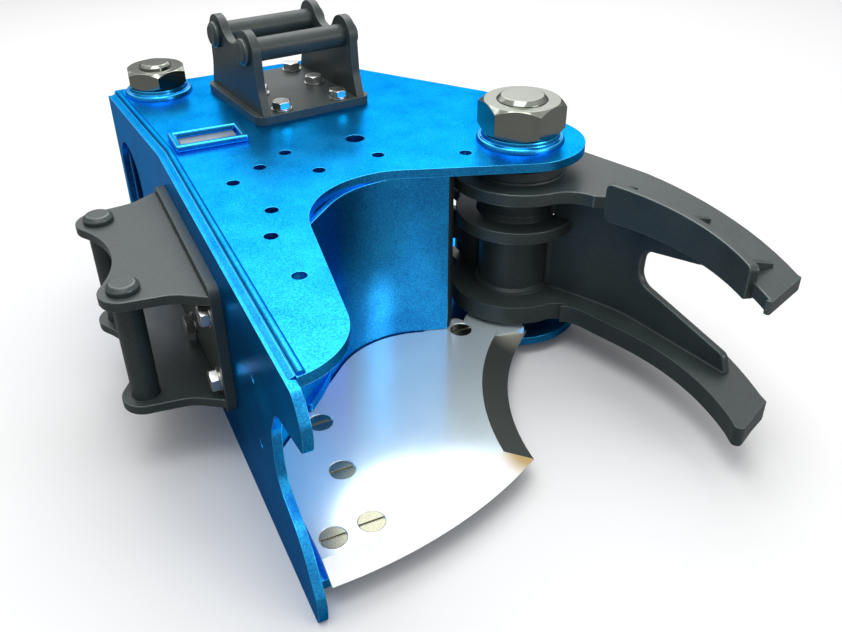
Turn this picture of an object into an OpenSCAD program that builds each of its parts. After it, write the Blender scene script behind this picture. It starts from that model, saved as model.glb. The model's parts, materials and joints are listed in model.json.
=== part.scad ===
// Excavator tree shear: a welded body with a fixed blade, a swinging claw,
// its hydraulic cylinder, and two pin-on brackets for the carrier machine.
// Z is up with the foot edges on Z = 0, and the claw pivot axis is X = Y = 0.

/* [Body] */
// Height of the top face of the top plate above the foot
body_h = 362; // [350:1:376]
// Thickness of the body plates
plate_t = 15; // [12:1:16]
// Thickness of the outer wall
wall_t = 13; // [11:1:15]
// Distance from the pivot axis to the outer face of the outer wall
wall_x = 562; // [552:1:580]
// Height of the underside of the bottom plate above the foot
foot_h = 22; // [18:1:26]
// Radius of the plate lobes round the pivot
lobe_r = 108; // [104:1:112]

/* [Pivots] */
// Diameter of the claw pivot pin
pivot_d = 85; // [76:1:88]
// Diameter of the cylinder base pin
base_pin_d = 60; // [50:1:64]
// Width across flats of the pivot nut
pivot_nut_af = 128; // [120:1:132]
// Width across flats of the cylinder pin nut
base_nut_af = 102; // [92:1:106]
// Radial clearance of every running fit
fit = 0.05; // [0.02:0.01:0.1]

/* [Claw] */
// Thickness of the upper tine and of the lever plate
tine_t = 22; // [18:1:24]
// Thickness of the lower tine
low_tine_t = 33; // [26:1:36]
// Outer diameter of the hub tube
hub_d = 124; // [120:1:130]
// Height of the push plate on the upper tine
push_h = 60; // [50:1:64]
// Distance from the pivot axis to the rod pin
lever_r = 110; // [104:1:112]
// Diameter of the rod pin
rod_pin_d = 35; // [30:1:38]

/* [Cylinder] */
// Outer diameter of the barrel
barrel_d = 96; // [88:1:98]
// Bore of the barrel
bore_d = 76; // [68:1:78]
// Diameter of the piston rod
rod_d = 45; // [36:1:48]

/* [Blade] */
// Thickness of the blade
blade_t = 15; // [12:1:16]
// Diameter of the countersunk heads of the blade screws
screw_d = 30; // [24:1:32]

/* [Brackets] */
// Distance between the two ears of the top bracket
top_gap = 170; // [158:1:174]
// Distance between the two ears of the side bracket
side_gap = 161; // [152:1:166]
// Thickness of the ears and of the bracket base
ear_t = 15; // [12:1:17]
// Height of the pin axes above the mounting face
pin_h = 115; // [108:1:125]
// Diameter of the bracket pins
pin_d = 40; // [34:1:44]
// Distance between the pins of the top bracket
top_pin_pitch = 130; // [124:1:140]
// Distance between the pins of the side bracket
side_pin_pitch = 226; // [210:1:230]

/* [Hidden] */

paint_blue = [0.10, 0.45, 0.80];
paint_grey = [0.20, 0.21, 0.22];
steel = [0.75, 0.76, 0.78];
nut_steel = [0.72, 0.68, 0.60];
bronze = [0.70, 0.52, 0.30];
mark = [0.80, 0.80, 0.80];

$fn = 64;
eps = 0.01;

// Levels, all measured from the foot
top_z = body_h - plate_t;
floor_z = foot_h + plate_t;
blade_z = floor_z + blade_t;
tine_top = body_h - 50;
tine_low = tine_top - tine_t;
lever_top = body_h - 126;
low_z = blade_z + 9;
low_top = low_z + low_tine_t;
lever_z = lever_top - tine_t;
rod_z = (lever_z + low_top) / 2;
eye_h = lever_z - low_top - 30;

// Plan
wall_in = wall_x - wall_t;
base_xy = [-498, 508];
rod_xy = lever_r * [cos(100), sin(100)];
rod_dir = atan2(rod_xy.y - base_xy.y, rod_xy.x - base_xy.x);
rod_len = norm(rod_xy - base_xy);
bend_y = 202;
rear_y = 535;
rear_x = wall_x + 28;

// Geometry helpers. A corner or path point is [x, y, radius].
function unit(v) = v / norm(v);
function xy(p) = [p.x, p.y];
function left(v) = [-v.y, v.x];
function arc_steps(turn) = max(2, ceil(abs(turn) / 5));

// Arc that rounds corner b between its neighbours a and c
function corner(a, b, c) =
    b[2] == 0 ? [xy(b)] :
    let (u = unit(xy(a) - xy(b)), v = unit(xy(c) - xy(b)), half = acos(u * v) / 2,
         centre = xy(b) + unit(u + v) * b[2] / sin(half),
         from = xy(b) + u * b[2] / tan(half) - centre,
         to = xy(b) + v * b[2] / tan(half) - centre,
         start = atan2(from.y, from.x),
         turn = (atan2(to.y, to.x) - start + 540) % 360 - 180,
         n = arc_steps(turn))
    [for (i = [0 : n]) centre + b[2] * [cos(start + turn * i / n), sin(start + turn * i / n)]];

function rounded(pts) = let (n = len(pts))
    [for (i = [0 : n - 1]) each corner(pts[(i + n - 1) % n], pts[i], pts[(i + 1) % n])];

function rounded_path(path) = let (n = len(path) - 1)
    [for (i = [0 : n]) each (i == 0 || i == n) ? [xy(path[i])]
        : corner(path[i - 1], path[i], path[i + 1])];

// An open path moved to its left by t, with its radii kept concentric
function sideways(path, t) = let (n = len(path) - 1)
    [for (i = [0 : n])
        let (a = xy(path[max(i, 1)]) - xy(path[max(i, 1) - 1]),
             c = xy(path[min(i, n - 1) + 1]) - xy(path[min(i, n - 1)]),
             m = unit(left(unit(a)) + left(unit(c))),
             p = xy(path[i]) + m * t / (m * left(unit(a))))
        [p.x, p.y, path[i][2] == 0 ? 0 : path[i][2] - sign(cross(a, c)) * t]];

function reverse(v) = [for (i = [len(v) - 1 : -1 : 0]) v[i]];

// Strip along a path, between two offsets to its left
module band(path, t0, t1)
    polygon(concat(rounded_path(sideways(path, t0)), reverse(rounded_path(sideways(path, t1)))));

// Flat plate from a rounded outline, with its underside at z
module slab(pts, z, t)
    translate([0, 0, z]) linear_extrude(t) polygon(rounded(pts));

// Profile in Y and Z, extruded along X from x
module along_x(x, t)
    translate([x, 0, 0]) rotate([90, 0, 90]) linear_extrude(t) children();

module at_each(places) for (p = places) translate(p) children();

// Body outlines in plan
wall_line = [[-wall_in, bend_y], [-wall_in - (rear_x - wall_x), rear_y]];
throat_corner = [-301, -5, 151];
throat_end = wall_in + 20;
throat_path = [[-158, -51, 0], throat_corner,
    [-throat_end, throat_corner.y - (throat_end + throat_corner.x), 0]];
right_side = [[62, 232, 40], [-180, 572, 22]];
rear_left = [wall_line[1].x, rear_y + 14, 6];

top_outline = [
    [-wall_in, -467, 0], [-467, -451, 108], [-395.5, 25.6, 145],
    [145.3, -167.5, lobe_r], right_side[0], right_side[1],
    rear_left, [wall_line[0].x, wall_line[0].y, 0]];

bottom_outline = [
    [-wall_in, -466, 0], [-420, -456, 30], [-262, -408, 40], [-212, -295, 160],
    [-60, -100, 0], [145.3, -167.5, lobe_r], right_side[0], right_side[1],
    rear_left, [wall_line[0].x, wall_line[0].y, 0]];

hole_places = [[-374, 114], [-428, 75], [-481, 36], [-348, 24], [-242, 39],
    [-111, -15], [-456, -78], [-480, -153], [-479, -269]];
lift_hole = [-250, 120];
hole_d = 20;
lift_d = 32;

// Bracket places
top_at = [-285, 373];
top_turn = 7.3;
side_at = [15, 204];
top_base_w = top_gap + 2 * ear_t + 24;
side_base_w = side_gap + 2 * ear_t + 25;
top_base_l = 240;
side_base_l = 372;
bolt_d = 20;
bolt_af = 30;
bolt_row = 56;
top_bolt_in = 23;
side_bolt_in = 24;
top_bolt_pitch = top_base_l / 2 - top_bolt_in;
side_bolt_pitch = side_base_l / 2 - side_bolt_in;
lobe_d = 70;

// Height of the stepped rings under the nuts
ring_h = 8;
step_h = 8;
pivot_nut_h = 52;
base_nut_h = 32;
bolt_proud = 8;
nut_turn = 23;

module pivot_hole(d, h = body_h) translate([0, 0, -1]) cylinder(d = d, h = h + 2);
module base_hole(d) translate([base_xy.x, base_xy.y, -1]) cylinder(d = d, h = body_h + 2);

module top_plate() color(paint_blue) difference() {
    slab(top_outline, top_z, plate_t);
    pivot_hole(pivot_d + 2 * fit);
    base_hole(base_pin_d + 2 * fit);
    at_each(hole_places) translate([0, 0, top_z - 1]) cylinder(d = hole_d, h = plate_t + 2);
    translate([lift_hole.x, lift_hole.y, top_z - 1]) cylinder(d = lift_d, h = plate_t + 2);
    on_top() at_bolts(top_bolt_pitch) translate([0, 0, -plate_t - 1])
        cylinder(d = bolt_d + 1, h = plate_t + 2);
}

module bottom_plate() color(paint_blue) difference() {
    union() {
        slab(bottom_outline, foot_h, plate_t);
        translate([0, 0, foot_h]) cylinder(r = lobe_r + 14, h = plate_t);
    }
    pivot_hole(pivot_d + 2 * fit);
    base_hole(base_pin_d + 2 * fit);
    at_each(screw_places) cylinder(d = screw_shank + 1, h = floor_z + 1);
}

// Side profile of the outer wall: [y, z, radius], with the tooth and the recess in front
wall_profile = [
    [bend_y, 0, 0], [-498, 0, 10], [-503, 36, 34], [-450, 106, 110], [-369, 134, 42],
    [-370, body_h - 148, 45], [-402, body_h - 92, 45], [-508, body_h - 71, 10],
    [-513, body_h - 42, 30], [-488, body_h - 4, 3], [bend_y, body_h - 4, 0]];
wall_holes = [[-306, body_h - 108], [-305, 144]];
wall_hole_d = 14;
arch = [[386, 62, 30], [519, 62, 30], [519, body_h - 72, 66], [386, body_h - 72, 66]];

module outer_wall() color(paint_blue) difference() {
    union() {
        along_x(-wall_x, wall_t) polygon(rounded(wall_profile));
        linear_extrude(body_h - 4) polygon([wall_line[0], wall_line[1],
            wall_line[1] - [wall_t, 0], wall_line[0] - [wall_t, 0]]);
    }
    along_x(-wall_x - 1, wall_t + 2) at_each(wall_holes) circle(d = wall_hole_d);
    along_x(-rear_x - 1, rear_x - wall_in + 2) polygon(rounded(arch));
    on_side() at_bolts(side_bolt_pitch) translate([0, 0, -wall_t - 1])
        cylinder(d = bolt_d + 1, h = wall_t + 2);
}

throat_t = 10;
// Cuts at the throat wall's two ends, each with its size and its lowest corner in plan
wall_cut = [60, 120];
wall_cut_at = [-wall_in - wall_cut.x, -300];
blade_cut = [60, 100];
blade_cut_at = [-200, -100];
module throat_wall() color(paint_blue) difference() {
    translate([0, 0, floor_z]) linear_extrude(top_z - floor_z) band(throat_path, -throat_t, 0);
    translate([wall_cut_at.x, wall_cut_at.y, 0]) cube([wall_cut.x, wall_cut.y, body_h]);
    translate([blade_cut_at.x, blade_cut_at.y, floor_z - 1])
        cube([blade_cut.x, blade_cut.y, blade_t + 2]);
}

// Closing plate round the back of the body, with an opening for the hoses
rear_path = [[-428, 549, 0], [-194, 553, 20], [2, 284, 0]];
rear_t = 12;
module rear_wall() color(paint_blue) difference() {
    translate([0, 0, floor_z]) linear_extrude(top_z - floor_z) band(rear_path, -rear_t, 0);
    translate([-380, 500, rod_z - 45]) cube([140, 100, 90]);
    translate([-168, 409, rod_z - 60]) rotate([0, 0, -54]) cube([130, 120, 120]);
}

// Fillet bead along the seam between the top plate and the outer wall
bead = 9;
module edge_weld() color(paint_blue) {
    translate([0, bend_y, body_h - 4]) rotate([90, 0, 0]) linear_extrude(bend_y + 462)
        polygon([[-wall_in, 0], [-wall_in - bead, 0], [-wall_in, 3.5]]);
    slope = atan((rear_x - wall_x) / (rear_y - bend_y));
    translate([wall_line[0].x, bend_y, body_h - 4]) rotate([90, 0, slope]) mirror([0, 0, 1])
        linear_extrude(norm(wall_line[1] - wall_line[0]) - 2) polygon([[0, 0], [-bead, 0], [0, 3.5]]);
}

// Stepped ring with a sloped weld edge, outer radius r
module stepped_ring(r, bore)
    rotate_extrude() polygon([[bore / 2, 0], [r, 0], [r - 3, ring_h], [r - 9, ring_h],
        [r - 10, ring_h + step_h], [bore / 2, ring_h + step_h]]);

module pivot_rings() color(paint_blue)
    translate([0, 0, body_h]) stepped_ring(75, pivot_d + 2 * fit);

boss_r = 42;
eye_half = max(eye_h / 2 + 3, barrel_d / 2);
module base_pin_bosses() color(paint_blue) translate([base_xy.x, base_xy.y, 0]) {
    translate([0, 0, body_h]) stepped_ring(63, base_pin_d + 2 * fit);
    difference() {
        union() {
            translate([0, 0, floor_z]) cylinder(r = boss_r, h = rod_z - eye_half - 1 - floor_z);
            translate([0, 0, rod_z + eye_half + 1])
                cylinder(r = boss_r, h = top_z - rod_z - eye_half - 1);
        }
        pivot_hole(base_pin_d + 2 * fit);
    }
}

// Raised frame for the name plate, and the bare plate in it
frame_at = [-473, 222];
frame_size = [122, 72];
frame_rim = 11;
frame_h = 11;
module name_frame() color(paint_blue) translate([frame_at.x, frame_at.y, body_h]) difference() {
    slab([for (s = [[-1, -1], [1, -1], [1, 1], [-1, 1]])
        [s.x * frame_size.x / 2, s.y * frame_size.y / 2, 5]], 0, frame_h);
    translate([0, 0, frame_h / 2 - eps])
        cube([frame_size.x - 2 * frame_rim, frame_size.y - 2 * frame_rim, frame_h + 1], center = true);
}

module blank_plate() color(mark) translate([frame_at.x, frame_at.y, body_h + 1])
    cube([frame_size.x - 2 * frame_rim - 6, frame_size.y - 2 * frame_rim - 6, 2], center = true);

// Blade with a conical bevel inside its concave edge and one round its convex front
bevel_at = [201, -420];
edge_r = 389;
bevel_w = 42;
front_at = [-534.5, 226];
front_r = 707;
front_w = 36.5;
land = 1;
screw_shank = 20;
screw_places = [[-137, -62], [-446, -192], [-453, -303], [-453, -412], [-509, -416]];
blade_outline = [
    [-535, -500, 0], [-150, -450, 0], [-44, -121, 0], [-96, -88, 60], [-128, -24, 12],
    [-200, -40, 0], [-232, -31, 0], [-302, -10, 150], [-535, -243, 0]];

module blade() color(steel) difference() {
    intersection() {
        slab(blade_outline, floor_z, blade_t);
        translate([front_at.x, front_at.y, floor_z]) union() {
            cylinder(r = front_r, h = land, $fn = 192);
            translate([0, 0, land - eps])
                cylinder(r1 = front_r, r2 = front_r - front_w, h = blade_t - land + eps, $fn = 192);
        }
    }
    translate([bevel_at.x, bevel_at.y, floor_z + land])
        cylinder(r1 = edge_r, r2 = edge_r + bevel_w, h = blade_t - land + eps, $fn = 128);
    translate([bevel_at.x, bevel_at.y, floor_z - 1]) cylinder(r = edge_r, h = blade_t + 2, $fn = 128);
    at_each(screw_places) {
        translate([0, 0, floor_z - 1]) cylinder(d = screw_shank + 1, h = blade_t + 2);
        translate([0, 0, blade_z - screw_sink]) cylinder(d1 = screw_shank + 1, d2 = screw_d + 10,
            h = screw_sink + eps);
    }
}

screw_sink = 9;
slot_w = 4;
nut_h = 12;
module blade_screws() color(steel) at_each(screw_places) {
    difference() {
        union() {
            translate([0, 0, foot_h - nut_h]) cylinder(d = screw_shank, h = blade_z - foot_h + nut_h - 1);
            translate([0, 0, blade_z - screw_sink])
                cylinder(d1 = screw_shank, d2 = screw_d + 8, h = screw_sink - 0.5);
        }
        translate([0, 0, blade_z]) cube([screw_d + 12, slot_w, 5], center = true);
    }
    translate([0, 0, foot_h - nut_h]) difference() {
        cylinder(r = bolt_af / sqrt(3), h = nut_h, $fn = 6);
        translate([0, 0, -1]) cylinder(d = screw_shank + fit, h = nut_h + 2);
    }
}

// Hexagon across flats af, with both rims chamfered
module hexagon(af, h) intersection() {
    cylinder(r = af / sqrt(3), h = h, $fn = 6);
    rotate_extrude() polygon([[0, 0], [af / 2 - 1, 0], [af / sqrt(3) + 1, af / 14],
        [af / sqrt(3) + 1, h - af / 14], [af / 2 - 1, h], [0, h]]);
}

module hex_nut(af, h, bore) difference() {
    hexagon(af, h);
    translate([0, 0, -1]) cylinder(d = bore, h = h + 2);
}

// Pin with a round head on the foot and a chamfered end at height top
module foot_pin(d, head_d, top) rotate_extrude() polygon([
    [0, 0], [head_d / 2 - 4, 0], [head_d / 2, 4], [head_d / 2, foot_h], [d / 2, foot_h],
    [d / 2, top - d / 12], [d / 2 - d / 12, top], [0, top]]);

pivot_nut_z = body_h + ring_h + step_h;
module pivot_pin() color(nut_steel) foot_pin(pivot_d, 124, pivot_nut_z + pivot_nut_h + bolt_proud);
module pivot_nut() color(nut_steel) translate([0, 0, pivot_nut_z])
    rotate(nut_turn) hex_nut(pivot_nut_af, pivot_nut_h, pivot_d + 2 * fit);
module base_pin() color(nut_steel) translate([base_xy.x, base_xy.y, 0])
    foot_pin(base_pin_d, 96, pivot_nut_z + base_nut_h + bolt_proud);
module base_pin_nut() color(nut_steel) translate([base_xy.x, base_xy.y, pivot_nut_z])
    rotate(nut_turn) hex_nut(base_nut_af, base_nut_h, base_pin_d + 2 * fit);

// Bronze washers between the hub and the two plates
washer_t = 6;
gap = 0.3;
module thrust_washers() color(bronze) for (z = [floor_z, top_z - washer_t])
    translate([0, 0, z]) difference() {
        cylinder(r = 68, h = washer_t);
        pivot_hole(pivot_d + 2 * fit);
    }

// A bracket stands on its mounting face: pins along X, base length along Y, height along Z
module on_top() translate([top_at.x, top_at.y, body_h]) rotate([0, 0, top_turn]) children();
module on_side() translate([-wall_x, side_at.x, side_at.y]) rotate([0, -90, 0]) children();
module at_bolts(pitch) for (x = [-bolt_row, bolt_row], y = [-pitch, 0, pitch])
    translate([x, y, 0]) children();

module bracket_base(l, w, pitch) difference() {
    slab([for (s = [[-1, -1], [1, -1], [1, 1], [-1, 1]])
        [s.x * w / 2, s.y * l / 2, 18]], 0, ear_t);
    at_bolts(pitch) translate([0, 0, -1]) cylinder(d = bolt_d + 1, h = ear_t + 2);
}

// Ear outline: two lobes round the pins with a saddle arc tangent to both
module ear_shape(l, pitch) {
    half = pitch / 2;
    lobe = lobe_d / 2;
    saddle = (half * half - lobe * lobe) / (2 * lobe);
    touch = [half - lobe * half / (saddle + lobe), pin_h + lobe * saddle / (saddle + lobe)];
    foot = l / 2 - 3;
    side = half + lobe;
    difference() {
        union() {
            polygon(rounded([[-foot, ear_t, 0], [foot, ear_t, 0],
                [side + (foot - side) * 0.2, ear_t + 42, 60], [side, pin_h, 0],
                [touch.x, touch.y, 0], [-touch.x, touch.y, 0],
                [-side, pin_h, 0], [-side - (foot - side) * 0.2, ear_t + 42, 60]]));
            for (s = [-half, half]) translate([s, pin_h]) circle(r = lobe);
        }
        translate([0, pin_h + saddle]) circle(r = saddle, $fn = 128);
        for (s = [-half, half]) translate([s, pin_h]) circle(d = pin_d + 2 * fit);
    }
}

module bracket_ears(l, pitch, gap) for (x = [-gap / 2 - ear_t, gap / 2])
    along_x(x, ear_t) ear_shape(l, pitch);

// Pins with chamfered round heads against the outer faces of the ears
head_t = 12;
module bracket_pins(pitch, gap) {
    end = gap / 2 + ear_t;
    for (y = [-pitch / 2, pitch / 2]) translate([0, y, pin_h]) rotate([0, 90, 0])
        rotate_extrude() polygon([[0, -end - head_t], [pin_d / 2 - 3, -end - head_t],
            [pin_d / 2 + 3, -end - head_t + 5], [pin_d / 2 + 3, -end - 0.2], [pin_d / 2, -end - 0.2],
            [pin_d / 2, end + 0.2], [pin_d / 2 + 3, end + 0.2],
            [pin_d / 2 + 3, end + head_t - 5], [pin_d / 2 - 3, end + head_t], [0, end + head_t]]);
}

// Hex bolts through the base and the plate under it, with nuts inside
module bracket_bolts(pitch, under) at_bolts(pitch) {
    translate([0, 0, -under - nut_h - 4]) cylinder(d = bolt_d, h = ear_t + under + nut_h + 5);
    translate([0, 0, ear_t]) cylinder(d = bolt_af + 7, h = 2.5);
    translate([0, 0, ear_t + 2.5]) hexagon(bolt_af, 13);
    translate([0, 0, -under - nut_h]) hex_nut(bolt_af, nut_h, bolt_d + 2 * fit);
}

module top_bracket_base() color(paint_grey) on_top() bracket_base(top_base_l, top_base_w, top_bolt_pitch);
module top_bracket_ears() color(paint_grey) on_top()
    bracket_ears(top_base_l, top_pin_pitch, top_gap);
module top_bracket_pins() color(paint_grey) on_top() bracket_pins(top_pin_pitch, top_gap);
module top_bracket_bolts() color(mark) on_top() bracket_bolts(top_bolt_pitch, plate_t);
module side_bracket_base() color(paint_grey) on_side()
    bracket_base(side_base_l, side_base_w, side_bolt_pitch);
module side_bracket_ears() color(paint_grey) on_side()
    bracket_ears(side_base_l, side_pin_pitch, side_gap);
module side_bracket_pins() color(paint_grey) on_side() bracket_pins(side_pin_pitch, side_gap);
module side_bracket_bolts() color(mark) on_side() bracket_bolts(side_bolt_pitch, wall_t);

// Claw. The hub carries three plates, with a sloped weld ring at each
hub_low = floor_z + washer_t + gap;
hub_high = top_z - washer_t - gap;
bush_wall = 7;
bush_l = 60;
bush_r = pivot_d / 2 + bush_wall;
weld = 8;
module claw_hub() color(paint_grey) {
    r = hub_d / 2;
    rotate_extrude() polygon([
        [bush_r, hub_low], [r + 8, hub_low], [r + 8, low_z], [r, low_z], [r, low_top],
        [r + weld, low_top], [r, low_top + weld], [r, lever_z - weld], [r + weld, lever_z],
        [r, lever_z], [r, lever_top], [r + weld, lever_top], [r, lever_top + weld],
        [r, tine_low - weld], [r + weld, tine_low], [r, tine_low],
        [r, tine_top], [r + 16, tine_top], [r + 13, tine_top + 17], [r, tine_top + 19],
        [r, hub_high], [bush_r, hub_high], [bush_r, hub_high - bush_l], [bush_r + 1, hub_high - bush_l],
        [bush_r + 1, hub_low + bush_l], [bush_r, hub_low + bush_l]]);
}

module hub_bushes() color(bronze) for (z = [hub_low, hub_high - bush_l])
    translate([0, 0, z]) difference() {
        cylinder(r = bush_r, h = bush_l);
        pivot_hole(pivot_d + 2 * fit);
    }

tine_outline = [
    [-10, -60, 0], [4, -110, 0], [46, -124, 60], [83, -240, 300], [104, -385, 150], [64, -523, 9],
    [156, -484, 5], [214, -230, 350], [120, 50, 60], [20, 90, 0]];
tine_flange_r = hub_d / 2 + 56;
lever_flange_r = hub_d / 2 + 43;
low_flange_r = hub_d / 2 + 50;
lever_boss_r = 46;
rod_boss_r = 30;
boss_gap = 0.5;

// Lever arm that leaves a round flange of radius r towards the rod pin
module lever_shape(r) {
    circle(r = r);
    rotate(100) polygon([[0, -r + 3], [lever_r, -lever_boss_r + 3], [lever_r, lever_boss_r - 3], [0, r - 3]]);
    translate(rod_xy) circle(r = lever_boss_r);
}

module claw_plate(z, t) translate([0, 0, z]) linear_extrude(t) difference() {
    children();
    circle(d = hub_d);
}

module rod_hole() translate([rod_xy.x, rod_xy.y, -1]) cylinder(d = rod_pin_d + 2 * fit, h = body_h);

push_path = [[56, -168, 0], [102, -349, 150], [66, -478, 0]];
push_t = 14;
push_top = tine_top + 28;

module upper_tine() color(paint_grey) difference() {
    claw_plate(tine_low, tine_t) {
        circle(r = tine_flange_r);
        polygon(rounded(tine_outline));
    }
    translate([0, 0, tine_low - 1]) linear_extrude(tine_t + 2) band(push_path, -60, push_t);
}

module lever_plate() color(paint_grey) difference() {
    union() {
        claw_plate(lever_z, tine_t) lever_shape(lever_flange_r);
        translate([rod_xy.x, rod_xy.y, rod_z + eye_h / 2 + boss_gap])
            cylinder(r = rod_boss_r, h = lever_z - rod_z - eye_h / 2 - boss_gap + 1);
    }
    rod_hole();
    translate([0, 0, lever_z - 1]) linear_extrude(tine_t + 2) band(web_path, 0, web_t + 200);
}

module lower_tine() color(paint_grey) difference() {
    union() {
        claw_plate(low_z, low_tine_t) {
            lever_shape(low_flange_r);
            polygon(rounded(tine_outline));
        }
        translate([rod_xy.x, rod_xy.y, low_top - 1])
            cylinder(r = rod_boss_r, h = rod_z - eye_h / 2 - boss_gap - low_top + 1);
    }
    rod_hole();
}

// Curved web between the tines, with the fork opening cut from its free side
web_path = [[30, -38, 0], [104, -178, 160], [146, -408, 0]];
web_t = 12;
fork = [[-600, low_top, 0], [-404, low_top, 0], [-394, low_top + 30, 14], [-214, low_top + 76, 28],
    [-216, low_top + 134, 24], [-320, tine_low - 40, 60], [-380, tine_low - 22, 0], [-600, tine_low - 22, 0]];
module claw_web() color(paint_grey) difference() {
    translate([0, 0, low_top]) linear_extrude(tine_low - low_top) band(web_path, 0, web_t);
    along_x(0, 300) polygon(rounded(fork));
    pivot_hole(hub_d + 2 * weld + 1);
}

module push_plate() color(paint_grey)
    translate([0, 0, push_top - push_h]) linear_extrude(push_h) band(push_path, 0, push_t);

// Small triangular ribs behind the push plate
gusset_t = 11;
gusset_l = 48;
gusset_places = [[70, -184, 22], [98, -303, 17], [80, -449, 10]];
module push_gussets() color(paint_grey) difference() {
    for (g = gusset_places) translate([g.x, g.y, tine_top]) rotate([0, 0, g[2]]) rotate([90, 0, 0])
        linear_extrude(gusset_t, center = true) polygon([[0, 0], [gusset_l, 0], [0, 24]]);
    translate([0, 0, tine_top - 1]) linear_extrude(push_h) band(push_path, -60, push_t);
}

module rod_pin() color(steel) translate([rod_xy.x, rod_xy.y, low_z - 8])
    cylinder(d = rod_pin_d, h = lever_top - low_z + 16);

module rod_pin_clips() color(steel) for (z = [low_z - 4, lever_top])
    translate([rod_xy.x, rod_xy.y, z]) difference() {
        cylinder(d = rod_pin_d + 16, h = 4);
        translate([0, 0, -1]) cylinder(d = rod_pin_d + 2 * fit, h = 6);
    }

// Cylinder frame: X runs from the base pin towards the rod pin
module on_cylinder() translate([base_xy.x, base_xy.y, rod_z]) rotate([0, 0, rod_dir]) children();
module tube_x(x, l, d) translate([x, 0, 0]) rotate([0, 90, 0]) cylinder(d = d, h = l);

barrel_l = 372;
barrel_x = 60;
gland_l = 34;
port_at = [88, 396];
port_d = 19;
eye_bush = 6;
module cylinder_barrel() color(paint_grey) on_cylinder() difference() {
    union() {
        translate([0, 0, -eye_half]) cylinder(r = 50, h = 2 * eye_half);
        tube_x(20, barrel_x + barrel_l - 20, barrel_d);
    }
    tube_x(barrel_x, barrel_l + 1, bore_d);
    translate([0, 0, -eye_half - 1]) cylinder(d = base_pin_d + 2 * eye_bush, h = 2 * eye_half + 2);
    for (x = port_at) translate([x, 0, 0]) rotate([-90, 0, 0]) cylinder(d = port_d, h = barrel_d);
}

module cylinder_gland() color(steel) on_cylinder() difference() {
    union() {
        tube_x(barrel_x + barrel_l, 12, barrel_d);
        tube_x(barrel_x + barrel_l + 12 - gland_l, gland_l, bore_d);
    }
    tube_x(barrel_x + barrel_l - gland_l, 2 * gland_l, rod_d + 2 * fit);
}

module cylinder_ports() color(steel) on_cylinder() for (x = port_at)
    translate([x, barrel_d / 2 - 2, 0]) rotate([-90, 0, 0]) difference() {
        cylinder(d = 34, h = 14);
        translate([0, 0, -1]) cylinder(d = port_d, h = 16);
        translate([-x, 0, 2 - barrel_d / 2]) tube_x(0, barrel_l + 100, barrel_d);
    }

module base_eye_bush() color(bronze) on_cylinder() translate([0, 0, -eye_half]) difference() {
    cylinder(d = base_pin_d + 2 * eye_bush, h = 2 * eye_half);
    translate([0, 0, -1]) cylinder(d = base_pin_d + 2 * fit, h = 2 * eye_half + 2);
}

piston_x = 106;
piston_l = 48;
eye_r = 38;
eye_bore = 52;
socket_d = 62;
socket_x = 84;
socket_l = 60;
module piston_rod() color(steel) on_cylinder()
    tube_x(piston_x, rod_len - eye_r + 6 - piston_x, rod_d);

module piston() color(steel) on_cylinder() difference() {
    tube_x(piston_x, piston_l, bore_d - 2 * fit);
    tube_x(piston_x - 1, piston_l + 2, rod_d);
}

module rod_eye() color(paint_grey) on_cylinder() difference() {
    union() {
        translate([rod_len, 0, -eye_h / 2]) cylinder(r = eye_r, h = eye_h);
        tube_x(rod_len - socket_x, socket_l, socket_d);
    }
    translate([rod_len, 0, -eye_h / 2 - 1]) cylinder(d = eye_bore, h = eye_h + 2);
    tube_x(rod_len - 100, 100 - eye_r + 6, rod_d);
}

top_plate();
bottom_plate();
outer_wall();
throat_wall();
rear_wall();
edge_weld();
pivot_rings();
base_pin_bosses();
name_frame();
blank_plate();
blade();
blade_screws();
pivot_pin();
pivot_nut();
base_pin();
base_pin_nut();
thrust_washers();
top_bracket_base();
top_bracket_ears();
top_bracket_pins();
top_bracket_bolts();
side_bracket_base();
side_bracket_ears();
side_bracket_pins();
side_bracket_bolts();
claw_hub();
hub_bushes();
upper_tine();
lever_plate();
lower_tine();
claw_web();
push_plate();
push_gussets();
rod_pin();
rod_pin_clips();
cylinder_barrel();
cylinder_gland();
cylinder_ports();
base_eye_bush();
piston_rod();
piston();
rod_eye();
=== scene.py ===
# %% [markdown]
# # An excavator tree shear
# The real tool is a welded steel box that hangs under an excavator. A polished blade is screwed to its
# floor, a claw with two tines swings a trunk against that blade, and two pin-on brackets let the machine
# carry it standing or lying. The solids come from a CAD model, and this lesson gives them their rounded
# edges, weld seams, machined details, paint and metal. The CAD part is loaded first, because every later
# piece is fitted to it.

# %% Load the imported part
import json
import bmesh
import bpy
from math import ceil, cos, pi, radians, sin, sqrt
from mathutils import Matrix, Vector

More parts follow.
